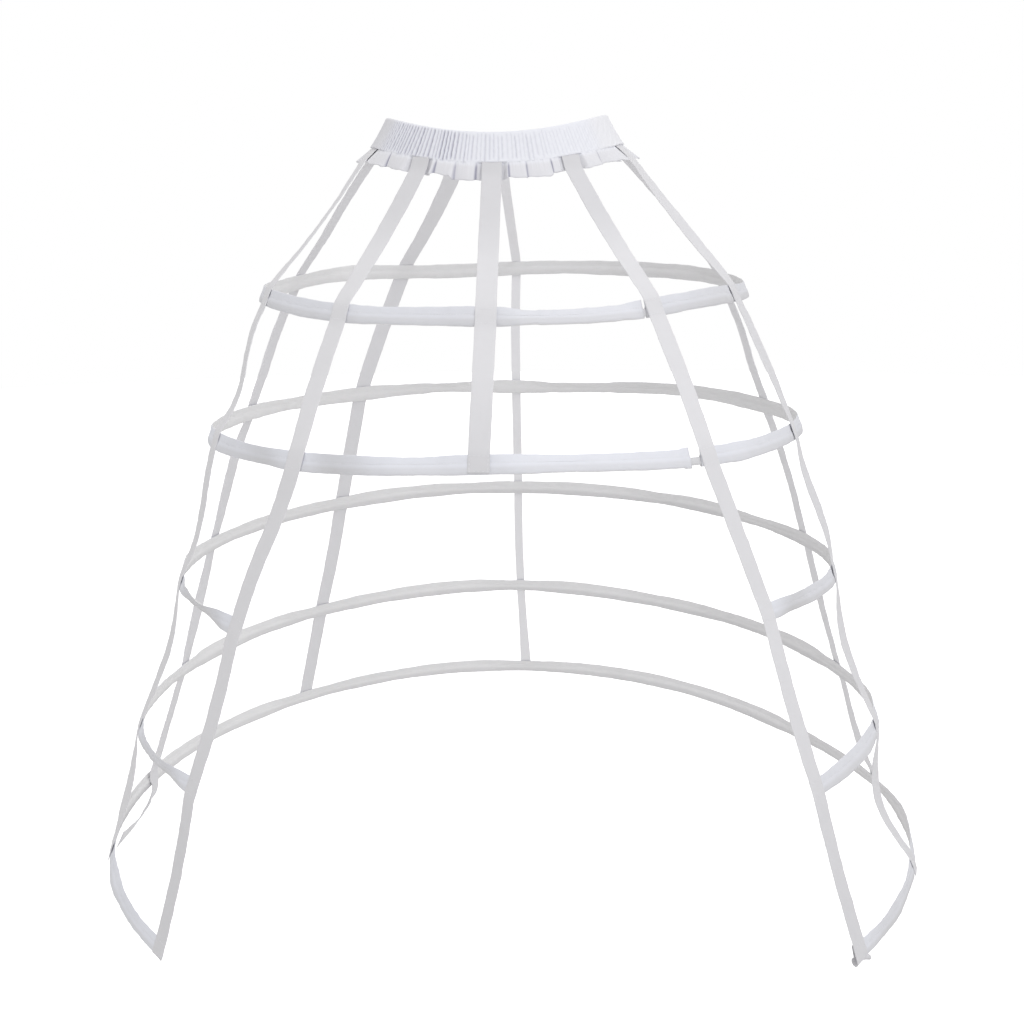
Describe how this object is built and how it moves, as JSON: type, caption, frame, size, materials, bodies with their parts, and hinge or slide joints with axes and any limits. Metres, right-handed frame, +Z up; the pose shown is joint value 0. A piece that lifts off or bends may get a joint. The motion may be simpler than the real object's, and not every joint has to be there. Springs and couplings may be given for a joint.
{
  "type": "crinoline cage",
  "caption": "Hoop skirt cage of flat tapes and boned fabric hoops below a gathered elastic waistband with a ruffle; open at the lower front.",
  "frame": {"origin": "middle of the waist, about 25 mm above the waistband's lower edge", "axes": "+Z up through the waist opening, -Y towards the front, +X to the viewer's right of the front"},
  "size_m": [0.966, 0.843, 0.86],
  "materials": {
    "waistband_cloth": "white cotton, finely gathered",
    "elastic": "white woven elastic",
    "tape": "white cotton twill tape",
    "casing_cloth": "white plain cotton",
    "bone": "pale grey flat plastic strip",
    "joiner": "thin bent steel",
    "bone_tip": "white dipped tip"
  },
  "bodies": {
    "root": {"waistband": "waistband_cloth", "waist_elastic": "elastic", "centre_front_tape": "tape", "front_left_tape": "tape", "front_right_tape": "tape", "side_left_tape": "tape", "side_right_tape": "tape", "rear_side_left_tape": "tape", "rear_side_right_tape": "tape", "back_left_tape": "tape", "centre_back_tape": "tape", "hoop_1_casing": "casing_cloth", "hoop_2_casing": "casing_cloth", "hoop_3_casing": "casing_cloth", "hoop_4_casing": "casing_cloth", "hoop_5_casing": "casing_cloth", "hoop_1_bone": "bone", "hoop_2_bone": "bone", "hoop_3_bone": "bone", "hoop_4_bone": "bone", "hoop_5_bone": "bone", "hoop_1_joiner": "joiner", "hoop_2_joiner": "joiner", "hoop_3_bone_tips": "bone_tip", "hoop_4_bone_tips": "bone_tip", "hoop_5_bone_tips": "bone_tip"}
  },
  "joints": []
}
